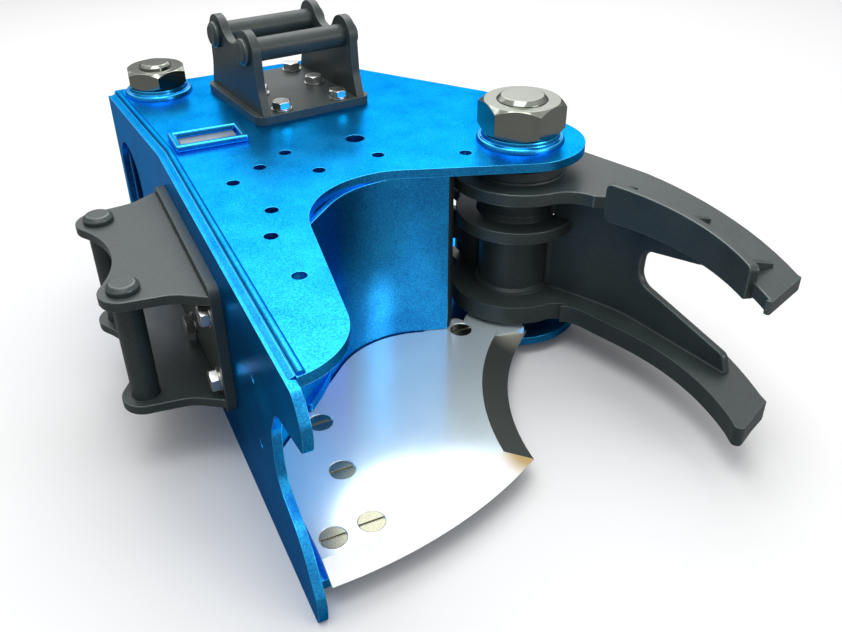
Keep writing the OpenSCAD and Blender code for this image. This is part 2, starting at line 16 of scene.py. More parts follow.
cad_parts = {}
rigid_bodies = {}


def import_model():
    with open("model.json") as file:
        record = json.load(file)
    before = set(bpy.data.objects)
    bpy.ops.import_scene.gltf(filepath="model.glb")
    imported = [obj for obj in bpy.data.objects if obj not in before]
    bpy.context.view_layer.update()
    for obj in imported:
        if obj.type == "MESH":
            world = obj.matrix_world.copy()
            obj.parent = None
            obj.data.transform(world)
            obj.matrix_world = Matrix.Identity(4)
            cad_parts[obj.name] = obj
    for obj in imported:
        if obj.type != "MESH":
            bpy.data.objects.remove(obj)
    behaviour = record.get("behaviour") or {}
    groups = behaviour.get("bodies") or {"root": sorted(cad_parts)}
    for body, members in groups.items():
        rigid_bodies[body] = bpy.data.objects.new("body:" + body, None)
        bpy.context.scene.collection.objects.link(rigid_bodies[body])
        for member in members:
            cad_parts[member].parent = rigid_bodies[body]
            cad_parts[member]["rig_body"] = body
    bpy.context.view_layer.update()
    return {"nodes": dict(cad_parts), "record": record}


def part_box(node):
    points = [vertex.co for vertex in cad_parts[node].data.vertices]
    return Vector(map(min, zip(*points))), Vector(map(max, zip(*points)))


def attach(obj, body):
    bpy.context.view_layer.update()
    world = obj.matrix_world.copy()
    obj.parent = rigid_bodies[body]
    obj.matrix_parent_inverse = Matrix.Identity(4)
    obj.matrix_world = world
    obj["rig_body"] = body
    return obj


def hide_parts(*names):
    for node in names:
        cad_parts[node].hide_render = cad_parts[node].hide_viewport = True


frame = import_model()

cad = frame["nodes"]
slot_of = {part["node"]: part["material_slot"] for part in frame["record"]["subparts"]}


# %% [markdown]
# ## Where the camera stands
# The picture was taken from the front left, about half a metre above the top plate. The position and the
# three angles were found by matching points of the CAD part with the same points in the picture. Three
# axes are built from the angles and put into the camera's matrix as columns, which is easier to check
# than Euler angles: the camera looks along its own minus Z.

# %% The camera
eye = Vector((-0.7371, -1.1740, 0.9133))
pitch, yaw, roll = radians(33.42), radians(25.17), radians(0.326)
focal_px, image_w = 865.4, 842
shear_middle = Vector((-0.3, 0, 0.2))
ahead = Vector((sin(yaw) * cos(pitch), cos(yaw) * cos(pitch), -sin(pitch)))
level = Vector((cos(yaw), -sin(yaw), 0))
down = ahead.cross(level)
right = cos(roll) * level + sin(roll) * down
up = sin(roll) * level - cos(roll) * down
camera_data = bpy.data.cameras.new("camera")
camera_data.sensor_width = 36
camera_data.sensor_fit = "HORIZONTAL"
camera_data.lens = focal_px / image_w * camera_data.sensor_width
camera = bpy.data.objects.new("camera", camera_data)
bpy.context.scene.collection.objects.link(camera)
camera.matrix_world = Matrix.Translation(eye) @ Matrix((right, up, -ahead)).transposed().to_4x4()
bpy.context.scene.camera = camera
print(f"lens {camera_data.lens:.1f} mm, {(eye - shear_middle).length:.2f} m from the middle of the shear")

# %% [markdown]
# ## Nodes without repetition
# Every material is a tree of nodes, and so is the sky, and the same few steps come back in each: add a
# node, set its inputs, join two sockets. These helpers take either a number or another node's socket, so
# a formula reads from the inside out. The sockets of a Mix node share their names, so they are taken by
# number, and the numbers depend on the kind of data.

# %% Helpers for nodes and materials
mix_sockets = {"FLOAT": (0, 2, 3, 0), "RGBA": (0, 6, 7, 2)}


def add(tree, kind, **settings):
    node = tree.nodes.new(kind)
    for key, value in settings.items():
        setattr(node, key, value)
    return node


def set_inputs(node, **values):
    for label, value in values.items():
        node.inputs[label.replace("_", " ")].default_value = value


def feed(tree, socket, value):
    if isinstance(value, bpy.types.NodeSocket):
        tree.links.new(value, socket)
    else:
        socket.default_value = value


def maths(tree, operation, first, second):
    node = add(tree, "ShaderNodeMath", operation=operation)
    for socket, value in zip(node.inputs, (first, second)):
        feed(tree, socket, value)
    return node.outputs[0]


def map_range(tree, value, low, high, to_low=0, to_high=1, **settings):
    node = add(tree, "ShaderNodeMapRange", **settings)
    set_inputs(node, From_Min=low, From_Max=high, To_Min=to_low, To_Max=to_high)
    feed(tree, node.inputs["Value"], value)
    return node.outputs["Result"]


def mix(tree, kind, share, first, second, **settings):
    node = add(tree, "ShaderNodeMix", data_type=kind, **settings)
    *numbers, result = mix_sockets[kind]
    for number, value in zip(numbers, (share, first, second)):
        feed(tree, node.inputs[number], value)
    return node.outputs[result]


def new_material(name, **constants):
    material = bpy.data.materials.new(name)
    material.use_nodes = True
    shader = material.node_tree.nodes["Principled BSDF"]
    set_inputs(shader, **constants)
    return material, material.node_tree, shader


print("a Mix node's sockets:", mix_sockets)

# %% [markdown]
# ## A pale floor
# Such product pictures are taken on a white sweep, and a grid of one face is enough for it. The floor is
# pale to the camera's own rays and dark to all others, because a pale one would throw light on the upright
# faces and the undersides, which are deep in colour in the picture.

# %% The floor
floor_half = 14
floor_seen, floor_bounced = (0.72, 0.72, 0.72, 1), (0.22, 0.22, 0.22, 1)


def link(name, data):
    piece = bpy.data.objects.new(name, data)
    bpy.context.scene.collection.objects.link(piece)
    return piece


def mesh_from(bm, name):
    mesh = bpy.data.meshes.new(name)
    bm.to_mesh(mesh)
    bm.free()
    return mesh


floor_bm = bmesh.new()
bmesh.ops.create_grid(floor_bm, x_segments=1, y_segments=1, size=floor_half)
floor = link("floor", mesh_from(floor_bm, "floor"))
floor_paint, floor_tree, floor_shader = new_material("pale_floor", Roughness=0.7, Specular_IOR_Level=0.1)
camera_ray = add(floor_tree, "ShaderNodeLightPath").outputs["Is Camera Ray"]
feed(floor_tree, floor_shader.inputs["Base Color"],
     mix(floor_tree, "RGBA", camera_ray, floor_bounced, floor_seen))
floor.data.materials.append(floor_paint)
print(f"a floor of {2 * floor_half} by {2 * floor_half} m")

# %% [markdown]
# ## Light by reflection
# Bare steel and metallic enamel show little but what they reflect, so the lights are placed by reflection.
# The largest power is in a box behind and above the shear, where the blade and the front of the top plate
# mirror it towards the camera. A dimmer box stands lower and further back, and two smaller ones fill in from
# above and from the front right.

# %% Four soft boxes
def soft_box(name, place, aim, width, height, watts):
    lamp = bpy.data.lights.new(name, "AREA")
    lamp.shape = "RECTANGLE"
    lamp.size, lamp.size_y, lamp.energy = width, height, watts
    holder = link(name, lamp)
    holder.location = place
    holder.rotation_euler = (Vector(aim) - Vector(place)).to_track_quat("-Z", "Y").to_euler()


fill_aim = (-0.3, -0.2, 0.2)
soft_box("back_box", (0.40, 2.03, 3.66), (-0.5, -0.1, 0.2), width=4.2, height=2.0, watts=62)
soft_box("low_back_box", (0.45, 2.60, 2.15), (0.45, -0.2, 0.9), width=4.4, height=1.7, watts=20)
soft_box("top_box", (-0.7, -0.5, 3.2), fill_aim, width=1.8, height=1.8, watts=36)
soft_box("front_box", (1.6, -2.8, 1.6), fill_aim, width=1.6, height=1.2, watts=26)

# %% [markdown]
# ## The sky
# The sky fills in what the boxes leave dark. It darkens towards the horizon, so that upright faces stay deep
# in colour. A soft glow behind the shear, found by the dot product with one direction, lets the bright
# reflection on the top plate fade out instead of ending in a line.

# %% Sky with a glow
horizon_power, zenith_power, zenith_from = 0.15, 0.95, 0.8
glow_towards, glow_edge, glow_power = (0.32, 0.695, 0.643), 0.90, 0.9
sky = bpy.data.worlds.new("studio")
sky.use_nodes = True
sky_tree = sky.node_tree
direction = add(sky_tree, "ShaderNodeTexCoord").outputs["Generated"]
height_of = add(sky_tree, "ShaderNodeSeparateXYZ")
feed(sky_tree, height_of.inputs["Vector"], direction)
sky_light = map_range(sky_tree, height_of.outputs["Z"], 0, zenith_from, horizon_power, zenith_power)
glow_share = add(sky_tree, "ShaderNodeVectorMath", operation="DOT_PRODUCT")
feed(sky_tree, glow_share.inputs[0], direction)
feed(sky_tree, glow_share.inputs[1], glow_towards)
glow = map_range(sky_tree, glow_share.outputs["Value"], glow_edge, 1, 0, glow_power)
background = sky_tree.nodes["Background"]
feed(sky_tree, background.inputs["Strength"], maths(sky_tree, "ADD", sky_light, glow))
set_inputs(background, Color=(1, 1, 1, 1))
bpy.context.scene.world = sky
bpy.context.scene.view_settings.view_transform = "Standard"
print(f"sky from {horizon_power} at the horizon to {zenith_power}, and a glow of {glow_power}")

# %% [markdown]
# ## Effects that several finishes share
# Sprayed enamel, cast paint and bare steel differ in colour, but they share two effects. The first is a
# grain: a fine unevenness that shifts the colour a little and roughens the surface. The second is a set
# of grinding lines, which is the same noise stretched far along one direction. Each is a node group, so
# that it is built once and each finish sets its size and strength. Noise counts its waves per metre, so a
# size in millimetres is divided into a thousand.

# %% The grain and the grinding lines as node groups
number, vector = "NodeSocketFloat", "NodeSocketVector"
line_stretch = 0.02


def new_group(name, inputs, outputs):
    group = bpy.data.node_groups.new(name, "ShaderNodeTree")
    for label, kind, value in inputs:
        socket = group.interface.new_socket(label, in_out="INPUT", socket_type=kind)
        if value is not None:
            socket.default_value = value
    for label, kind in outputs:
        group.interface.new_socket(label, in_out="OUTPUT", socket_type=kind)
    return group, group.nodes.new("NodeGroupInput"), group.nodes.new("NodeGroupOutput")


grain, grain_in, grain_out = new_group(
    "grain",
    [("Size mm", number, 1.0), ("Patch mm", number, 60.0), ("Patch share", number, 0.3)],
    [("Speckle", number), ("Patches", number), ("Height", number)])
place = add(grain, "ShaderNodeTexCoord")
speckle = add(grain, "ShaderNodeTexNoise")
set_inputs(speckle, Detail=2)
patch = add(grain, "ShaderNodeTexNoise")
set_inputs(patch, Detail=3)
for noise, size in ((speckle, "Size mm"), (patch, "Patch mm")):
    feed(grain, noise.inputs["Vector"], place.outputs["Object"])
    feed(grain, noise.inputs["Scale"], maths(grain, "DIVIDE", 1000, grain_in.outputs[size]))
both = mix(grain, "FLOAT", grain_in.outputs["Patch share"], speckle.outputs["Fac"], patch.outputs["Fac"])
feed(grain, grain_out.inputs["Speckle"], both)
feed(grain, grain_out.inputs["Patches"], patch.outputs["Fac"])
feed(grain, grain_out.inputs["Height"], speckle.outputs["Fac"])

ground, ground_in, ground_out = new_group(
    "grinding_lines",
    [("Turn", vector, None), ("Spacing mm", number, 0.6)],
    [("Lines", number)])
place = add(ground, "ShaderNodeTexCoord")
turned = add(ground, "ShaderNodeMapping")
set_inputs(turned, Scale=(line_stretch, 1, 1))
lines = add(ground, "ShaderNodeTexNoise")
set_inputs(lines, Detail=4)
feed(ground, turned.inputs["Vector"], place.outputs["Object"])
feed(ground, turned.inputs["Rotation"], ground_in.outputs["Turn"])
feed(ground, lines.inputs["Vector"], turned.outputs["Vector"])
feed(ground, lines.inputs["Scale"], maths(ground, "DIVIDE", 1000, ground_in.outputs["Spacing mm"]))
feed(ground, ground_out.inputs["Lines"], lines.outputs["Fac"])
print("groups:", [g.name for g in bpy.data.node_groups])

# %% [markdown]
# ## The finishes
# The body has a metallic blue enamel, sprayed and cured, with flakes that make it sparkle. Claw and
# brackets wear a dark textured paint, and the other parts are bare or plated steel. Every finish is one
# Principled shader. Its constant values sit on the shader itself, and the groups only vary the colour,
# the roughness and the bump over the surface. Noise hardly leaves the middle of its range, so that part
# is spread over the two colours and the two roughnesses.

# %% One helper for all the finishes
noise_low, noise_high = 0.3, 0.7


def finish(name, dark, light, rough, metallic=1.0, grain_mm=1.0, bump_mm=0.01, lines_mm=0, turn=0,
           **constants):
    material, tree, shader = new_material(name, Metallic=metallic, **constants)
    fine = add(tree, "ShaderNodeGroup", node_tree=grain)
    fine.inputs["Size mm"].default_value = grain_mm
    share, height = fine.outputs["Speckle"], fine.outputs["Height"]
    if lines_mm:
        cut = add(tree, "ShaderNodeGroup", node_tree=ground)
        cut.inputs["Spacing mm"].default_value = lines_mm
        cut.inputs["Turn"].default_value = (0, 0, turn)
        height = cut.outputs["Lines"]
        halves = [maths(tree, "MULTIPLY", socket, 0.5) for socket in (share, height)]
        share = maths(tree, "ADD", *halves)
    spread = map_range(tree, share, noise_low, noise_high)
    feed(tree, shader.inputs["Base Color"], mix(tree, "RGBA", spread, (*dark, 1), (*light, 1)))
    roughness = map_range(tree, fine.outputs["Patches"], noise_low, noise_high, *rough)
    feed(tree, shader.inputs["Roughness"], roughness)
    relief = add(tree, "ShaderNodeBump")
    set_inputs(relief, Distance=bump_mm / 1000, Strength=1)
    feed(tree, relief.inputs["Height"], height)
    feed(tree, shader.inputs["Normal"], relief.outputs["Normal"])
    return material


print("noise is spread from", noise_low, "to", noise_high)

# %% [markdown]
# ## One entry for each finish
# An entry gives the darker and the lighter colour and the smoothest and the roughest spot. The two edge
# finishes are a painted highlight on the rounded edges of painted plates: lighter and smoother than the
# plate.
# Every CAD node gets the finish of its slot now, and the pieces made later take theirs from this table.

# %% Paints and metals
finishes = {
    "paint_blue": finish("blue_enamel", (0.010, 0.17, 0.55), (0.034, 0.50, 1.0), (0.28, 0.31),
                         grain_mm=2.6, bump_mm=0.18, Specular_Tint=(0.28, 0.6, 1, 1)),
    "paint_grey": finish("textured_grey_paint", (0.018, 0.026, 0.026), (0.052, 0.070, 0.067), (0.36, 0.46),
                         metallic=0.0, grain_mm=1.8, bump_mm=0.16, Specular_IOR_Level=0.45),
    # Painted highlights for rounded edges: lighter and smoother than the plates' own paint
    "blue_edge_highlight": finish("blue_enamel_edge_painted_highlight", (0.03, 0.42, 0.90), (0.06, 0.60, 1.0), (0.20, 0.28),
                        grain_mm=2.0, bump_mm=0.04),
    "grey_edge_highlight": finish("grey_paint_edge_painted_highlight", (0.06, 0.08, 0.078), (0.12, 0.15, 0.145), (0.22, 0.32),
                        metallic=0.3, grain_mm=1.8, bump_mm=0.05),
    "blade_steel": finish("polished_steel", (0.76, 0.90, 0.94), (0.88, 0.98, 1.0), (0.18, 0.22),
                          metallic=0.58, grain_mm=1.6, bump_mm=0.006, lines_mm=0.5, turn=radians(35)),
    "nut_steel": finish("turned_steel", (0.22, 0.24, 0.21), (0.34, 0.36, 0.31), (0.10, 0.15),
                        grain_mm=1.2, bump_mm=0.006),
    "zinc": finish("zinc_plate", (0.58, 0.58, 0.55), (0.80, 0.80, 0.78), (0.24, 0.32), grain_mm=1.2),
    "bronze": finish("bearing_bronze", (0.36, 0.20, 0.08), (0.52, 0.31, 0.13), (0.28, 0.40)),
    # A black finish for the sheet behind the throat wall: painted shade
    "shade_black": finish("black_painted_shade", (0.004, 0.004, 0.005), (0.009, 0.010, 0.011), (0.55, 0.65),
                     metallic=0.0, grain_mm=1.5, bump_mm=0.03),
    "screw": finish("satin_screw_steel", (0.20, 0.20, 0.15), (0.34, 0.34, 0.26), (0.20, 0.28)),
    "steel": finish("bare_steel", (0.30, 0.31, 0.29), (0.44, 0.45, 0.42), (0.28, 0.36)),
    "blank": finish("name_plate_aluminium", (0.16, 0.165, 0.17), (0.30, 0.31, 0.32), (0.30, 0.40),
                    metallic=0.6, bump_mm=0.008, lines_mm=0.6),
}
# Each paint's painted-highlight finish for its rounded edges
edge_highlight_finish = {"paint_blue": "blue_edge_highlight", "paint_grey": "grey_edge_highlight"}
for node, piece in cad.items():
    piece.data.materials.clear()
    piece.data.materials.append(finishes[slot_of[node]])
print("finishes:", sorted(finishes))

# %% [markdown]
# ## Rounded edges
# No steel plate leaves a workshop with a perfectly sharp edge. Flame-cut edges are ground, and cast ones
# are round. A node of the CAD model is loose triangles, so a copy is made, its doubles are merged and the
# flat faces dissolved. Then bmesh bevels every edge that is sharper than thirty degrees. Edges that stay
# sharper than the crease angle keep a hard shading, and the rest is shaded round. On painted plates the
# rounded faces can take a second, lighter finish: a painted highlight along the edges.

# %% Helpers that copy, cut, round and set a piece
same_place, same_cut = 2e-6, 1e-6


def mm(*values):
    return Vector([v / 1000 for v in values])


def merge_flat(bm):
    bmesh.ops.dissolve_limit(bm, angle_limit=radians(0.3), verts=bm.verts, edges=bm.edges)


def face_outwards(bm):
    bmesh.ops.recalc_face_normals(bm, faces=bm.faces)


def copy_of(node):
    bm = bmesh.new()
    bm.from_mesh(cad[node].data)
    bmesh.ops.remove_doubles(bm, verts=bm.verts, dist=same_place)
    merge_flat(bm)
    return bm


def slice_at(bm, place, across, clear_outer=False):
    bmesh.ops.bisect_plane(bm, geom=bm.verts[:] + bm.edges[:] + bm.faces[:], dist=same_cut,
                           plane_co=place, plane_no=across, clear_outer=clear_outer)


def bevel(bm, edges, offset, steps):
    return bmesh.ops.bevel(bm, geom=edges, offset=offset, offset_type="OFFSET", segments=steps,
                           profile=0.5, affect="EDGES", clamp_overlap=True, material=-1)["faces"]


def round_edges(bm, radius_mm, steps=2, sharp=30, painted_edge_highlight=False):
    edges = [e for e in bm.edges if len(e.link_faces) == 2 and e.calc_face_angle(0) > radians(sharp)]
    rounded_faces = bevel(bm, edges, radius_mm / 1000, steps)
    # The rounded faces take the second slot, a painted highlight along the edges
    if painted_edge_highlight:
        for face in rounded_faces:
            face.material_index = 1


def set_piece(bm, name, node, crease=50, replace=True, paint=None):
    face_outwards(bm)
    for face in bm.faces:
        face.smooth = True
    for e in bm.edges:
        e.smooth = len(e.link_faces) == 2 and e.calc_face_angle(0) < radians(crease)
    piece = link(name, mesh_from(bm, name))
    piece.data.materials.append(finishes[paint or slot_of[node]])
    # A piece with rounded faces gets the lighter finish as well: a painted edge highlight
    if slot_of[node] in edge_highlight_finish and any(p.material_index for p in piece.data.polygons):
        piece.data.materials.append(finishes[edge_highlight_finish[slot_of[node]]])
    even = piece.modifiers.new("even_shading", "WEIGHTED_NORMAL")
    even.keep_sharp = True
    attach(piece, cad[node]["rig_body"])
    if replace:
        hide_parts(node)
    return piece


print("vertices closer than", same_place * 1000, "mm are merged")

# %% [markdown]
# ## How round each node's edges are
# Flame-cut plates and cast pieces are rounder than machined ones, so each node has its own radius in
# millimetres. A node that isn't in the list is small or hidden, or gets a cell of its own. Pins, nuts, bolts
# and turned rings have shallow chamfers, so their crease angle is smaller. The upper front corner of the
# outer wall's tooth is rounded in another way: three planes cut it off, each leaning more than the one
# before, and the holes are filled.

# %% Copies with rounded edges
edge_mm = {
    "top_plate": 2, "bottom_plate": 2, "outer_wall": 2, "throat_wall": 1, "rear_wall": 1, "edge_weld": 1,
    "pivot_rings": 2, "base_pin_bosses": 2, "name_frame": 3, "blank_plate": 0.4,
    "pivot_pin": 1, "pivot_nut": 1, "base_pin": 1, "base_pin_nut": 1,
    "top_bracket_base": 2, "top_bracket_ears": 2, "top_bracket_pins": 2, "top_bracket_bolts": 0.6,
    "side_bracket_base": 2, "side_bracket_ears": 2, "side_bracket_pins": 2, "side_bracket_bolts": 0.6,
    "claw_hub": 1.5, "lever_plate": 2.5, "claw_web": 3,
    "cylinder_barrel": 1, "cylinder_gland": 1, "cylinder_ports": 0.6, "rod_eye": 1.5}
crease_of = {"pivot_pin": 20, "pivot_nut": 20, "base_pin": 20, "base_pin_nut": 20, "top_bracket_bolts": 25,
             "side_bracket_bolts": 25, "pivot_rings": 35, "base_pin_bosses": 35}
# Y and Z of a point on each cut in millimetres, and the cut's lean in degrees
tooth_cuts = ((-481, 358, 16), (-489, 353, 36), (-499, 344, 58))


def round_tooth(bm):
    for y, z, lean in tooth_cuts:
        slice_at(bm, mm(0, y, z), (0, -sin(radians(lean)), cos(radians(lean))), clear_outer=True)
        bmesh.ops.holes_fill(bm, edges=[e for e in bm.edges if e.is_boundary])


# The rounded edges of painted plates get a painted highlight
for node, radius in edge_mm.items():
    bm = copy_of(node)
    if node == "outer_wall":
        round_tooth(bm)
    round_edges(bm, radius, painted_edge_highlight=slot_of[node] in edge_highlight_finish)
    piece = set_piece(bm, node + "_finished", node, crease=crease_of.get(node, 50))
    print(f"{node}: {len(piece.data.polygons)} faces")

# %% [markdown]
# ## A finish for the blade's bevels
# The blade's concave edge is ground to a wide bevel, and its convex front has a second bevel. The inner
# bevel lies in shadow and is painted dark with it, lighter at the pivot: painted shade. The front one
# catches the light and is painted flat white with it, browner at the tip: a painted highlight. So this
# finish runs from one colour to another with the distance from a point. The grain flecks both.

# %% Ground steel with painted light and shade along a bevel
bevel_grain_mm, bevel_flecks = 0.9, 0.25


def bevel_with_painted_light(name, near, far, centre, start_mm, end_mm, rough, metallic):
    material, tree, shader = new_material(name, Metallic=metallic, Roughness=rough)
    where = add(tree, "ShaderNodeTexCoord")
    away = add(tree, "ShaderNodeVectorMath", operation="DISTANCE")
    feed(tree, away.inputs[0], where.outputs["Object"])
    feed(tree, away.inputs[1], centre)
    share = map_range(tree, away.outputs["Value"], start_mm / 1000, end_mm / 1000,
                      interpolation_type="SMOOTHSTEP")
    fine = add(tree, "ShaderNodeGroup", node_tree=grain)
    fine.inputs["Size mm"].default_value = bevel_grain_mm
    shaded = mix(tree, "RGBA", share, (*near, 1), (*far, 1))
    flecked = mix(tree, "RGBA", bevel_flecks, shaded, fine.outputs["Speckle"], blend_type="MULTIPLY")
    feed(tree, shader.inputs["Base Color"], flecked)
    return material


# Inner bevel: painted shade, dark away from the pivot and lighter near it
inner_bevel_painted_shade = bevel_with_painted_light(
    "ground_inner_bevel_painted_shade", near=(0.50, 0.48, 0.40), far=(0.10, 0.115, 0.108), centre=mm(-52, -100, 45),
    start_mm=14, end_mm=62, rough=0.40, metallic=0.6)
# Front bevel: a painted highlight in flat white, browner near the tip
front_bevel_painted_highlight = bevel_with_painted_light(
    "ground_front_bevel_painted_highlight", near=(0.50, 0.35, 0.14), far=(1.0, 1.0, 1.0), centre=mm(-192, -378, 45),
    start_mm=14, end_mm=58, rough=0.25, metallic=0.0)
print("bevel finishes:", inner_bevel_painted_shade.name, front_bevel_painted_highlight.name)

# %% [markdown]
# ## The blade
# Both bevels are cones. A face belongs to the inner one when it is tilted towards that cone's axis and lies
# near its circle, and to the front one when it is tilted away from its axis. Each bevel gets its own
# material, and a small crease angle keeps the folds hard. Before that, the blade's corner at the pivot is
# moved to where it ends in the picture, and one low upright edge near the tip is rounded.

# %% Blade with two bevels
inner_cone, inner_reach = mm(201, -420), (0.386, 0.434)
front_cone, front_reach = mm(-534.5, 226), (0.666, 0.709)
tilt_low, tilt_high, facing = 0.3, 0.985, 0.8
pivot_corner, moved_corner, corner_reach = mm(-44, -121), mm(-23, -98), 0.006
near_tip, tip_reach, upright, tip_round = mm(-188, -378), 0.010, 0.0005, 0.006


def near_cone(at, cone, reach):
    return reach[0] < (at - cone).length < reach[1]


bm = copy_of("blade")
for v in bm.verts:
    if (v.co.xy - pivot_corner).length < corner_reach:
        v.co.xy = moved_corner
tip_edges = [e for e in bm.edges if all((v.co.xy - near_tip).length < tip_reach for v in e.verts)
             and abs(e.verts[0].co.z - e.verts[1].co.z) > upright]
bevel(bm, tip_edges, tip_round, steps=4)
round_edges(bm, 0.4, steps=1)
for face in bm.faces:
    at = face.calc_center_median().xy
    if tilt_low < face.normal.z < tilt_high:
        looks = face.normal.xy.normalized()
        inward = looks.dot((inner_cone - at).normalized())
        outward = looks.dot((at - front_cone).normalized())
        if outward > max(inward, facing) and near_cone(at, front_cone, front_reach):
            face.material_index = 2
        elif inward > facing and near_cone(at, inner_cone, inner_reach):
            face.material_index = 1
bevel_faces = [sum(face.material_index == index for face in bm.faces) for index in (1, 2)]
blade = set_piece(bm, "blade_finished", "blade", crease=9)
# The inner bevel's painted shade and the front bevel's painted highlight
blade.data.materials.append(inner_bevel_painted_shade)
blade.data.materials.append(front_bevel_painted_highlight)
print("faces of the inner and the front bevel:", bevel_faces)

# %% [markdown]
# ## The blade's root and its screws
# The blade reaches under the claw, round the pivot, and this root is a plate of its own here: a flat face
# that is extruded upwards. It stays just below the blade's top, so that the two faces don't fight for the
# same place, and leaves room for the screw beside it.

# %% Root and screws
def extrude_by(bm, faces, by):
    made = bmesh.ops.extrude_face_region(bm, geom=faces)["geom"]
    verts = [g for g in made if isinstance(g, bmesh.types.BMVert)]
    bmesh.ops.translate(bm, verts=verts, vec=by)
    return verts


def raised_plate(outline, low, thick):
    bm = bmesh.new()
    extrude_by(bm, [bm.faces.new([bm.verts.new((p.x, p.y, low)) for p in outline])], (0, 0, thick))
    face_outwards(bm)
    return bm


def arc(centre, radius, start, end, step=3):
    count = ceil(abs(end - start) / step)
    turns = [radians(start + (end - start) * i / count) for i in range(count + 1)]
    return [Vector((centre[0] + radius * cos(a), centre[1] + radius * sin(a))) for a in turns]


blade_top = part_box("blade")[1][2]
root_down, root_t, root_r = 0.0140, 0.0137, 0.084
root_line = ([mm(-33, -104), mm(-28, -84)] + arc((0, 0), root_r, 250, 192, step=6)
             + [mm(-104, -22), mm(-124, -44), mm(-110, -80), mm(-100, -104), mm(-86, -106)])
set_piece(raised_plate(root_line, blade_top - root_down, root_t), "blade_root", "blade", crease=20,
          replace=False)

bm = copy_of("blade_screws")
round_edges(bm, 0.5)
screws = set_piece(bm, "blade_screws_finished", "blade_screws", crease=25, paint="screw")
print(f"root {root_t * 1000:.1f} mm thick, screws with {len(screws.data.polygons)} faces")

# %% [markdown]
# ## The lower tine
# Both tines are cut from plate with long true arcs: the edge that meets the trunk is one arc, and so is the
# back. Near the hub the throat has a fillet, and a straight stretch joins the two. Each side's points are
# slid along X onto its curve. To have points enough, the copy of the CAD plate is first sliced crosswise with
# bisect_plane, and the flat cuts are dissolved again afterwards.

# %% Lower tine
throat_arc = mm(-320, -372), 0.417
back_arc = mm(-480, -256), 0.673
fillet_arc = mm(-8.2, -177.8), 0.060
neck_y, fillet_y, straight_y, back_end_y, tip_y = -0.125, -0.159, -0.240, -0.480, -0.500
straight_x, straight_lean = 0.0758, 0.3337
tip_inner_x, tip_shift, slice_step = 0.12, 0.005, 0.012
tine_edge_mm = 2.5


def on_arc(curve, y):
    return curve[0].x + sqrt(curve[1] ** 2 - (y - curve[0].y) ** 2)


def throat_at(y):
    if y > fillet_y:
        return on_arc(fillet_arc, y)
    if y > straight_y:
        return straight_x - straight_lean * (y - straight_y)
    return on_arc(throat_arc, max(y, tip_y))


bm = copy_of("lower_tine")
cut_y = tip_y
while cut_y < neck_y:
    slice_at(bm, (0, cut_y, 0), (0, 1, 0))
    cut_y += slice_step
for v in bm.verts:
    x, y = v.co.xy
    if y > neck_y:
        continue
    if y < tip_y - same_cut:
        v.co.x += tip_shift * (x < tip_inner_x)
    elif x < (throat_at(y) + on_arc(back_arc, y)) / 2:
        v.co.x = throat_at(y)
    elif y > back_end_y:
        v.co.x = on_arc(back_arc, y)
merge_flat(bm)
# The rounded edges get the painted highlight finish
round_edges(bm, tine_edge_mm, painted_edge_highlight=True)
lower = set_piece(bm, "lower_tine_finished", "lower_tine")
print("lower tine:", len(lower.data.polygons), "faces")

# %% [markdown]
# ## The upper tine
# The CAD solid of the upper tine has a notch for the push plate, which would spoil the slicing. So this tine
# is drawn anew from the same arcs: one outline with a round hole for the hub, filled and extruded. Where the
# push plate stands, the outline follows the plate's own arc.

# %% Upper tine
flange_r, hub_hole_r, hole_steps = 0.118, 0.062, 72
push_centre = mm(-311, -335)
under_push_r = 0.417
tip_points = [mm(69, -508), mm(69.4, -513), mm(72, -516), mm(75, -516), mm(155, -486)]
shoulder = mm(62, 8), 0.07


def plate_from(outline, bore_r, low, high):
    bm = bmesh.new()
    corners = [bm.verts.new((p.x, p.y, low)) for p in outline]
    rim = [bm.edges.new((corners[i - 1], corners[i])) for i in range(len(corners))]
    middle = Matrix.Translation((0, 0, low))
    hole = bmesh.ops.create_circle(bm, segments=hole_steps, radius=bore_r, matrix=middle)["verts"]
    rim += [e for e in bm.edges if e.verts[0] in hole and e.verts[1] in hole]
    flat = bmesh.ops.triangle_fill(bm, edges=rim, use_beauty=True, use_dissolve=False)["geom"]
    extrude_by(bm, [g for g in flat if isinstance(g, bmesh.types.BMFace)], (0, 0, high - low))
    face_outwards(bm)
    merge_flat(bm)
    return bm


tine_low, tine_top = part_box("upper_tine")[0][2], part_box("upper_tine")[1][2]
outline = (arc((0, 0), flange_r, 45.7, 267.4) + arc(*fillet_arc, 87, 22)
           + arc(push_centre, under_push_r, 23.2, -18) + arc(*throat_arc, -14.6, -19.2) + tip_points
           + arc(*back_arc, -19.4, 11.6) + arc(*shoulder, 20, 42))
bm = plate_from(outline, hub_hole_r, tine_low, tine_top)
# The rounded edges get the painted highlight finish
round_edges(bm, tine_edge_mm, painted_edge_highlight=True)
upper = set_piece(bm, "upper_tine_finished", "upper_tine")
print("upper tine:", len(upper.data.polygons), "faces")

# %% [markdown]
# ## The push plate
# A bar stands on the throat edge of the upper tine and takes the push of the trunk. A smith would cut it
# flat, with round corners, and roll it to the curve, and so does this cell: the flat pattern is a face in
# length and height, which is extruded by the bar's thickness, sliced, and rolled round the arc's centre.

# %% Push plate
push_r, push_t, push_slices = 0.410, 0.014, 28
push_start, push_end = 24.5, -18.6
push_long = radians(push_start - push_end) * push_r
push_low_near, push_low_far, push_high = 0.269, 0.283, 0.3345
# Place along the bar, height and radius of each corner
push_corners = [(0, push_low_near, 0.014), (push_long, push_low_far, 0.007),
                (push_long, push_high, 0.009), (0, push_high, 0.010)]


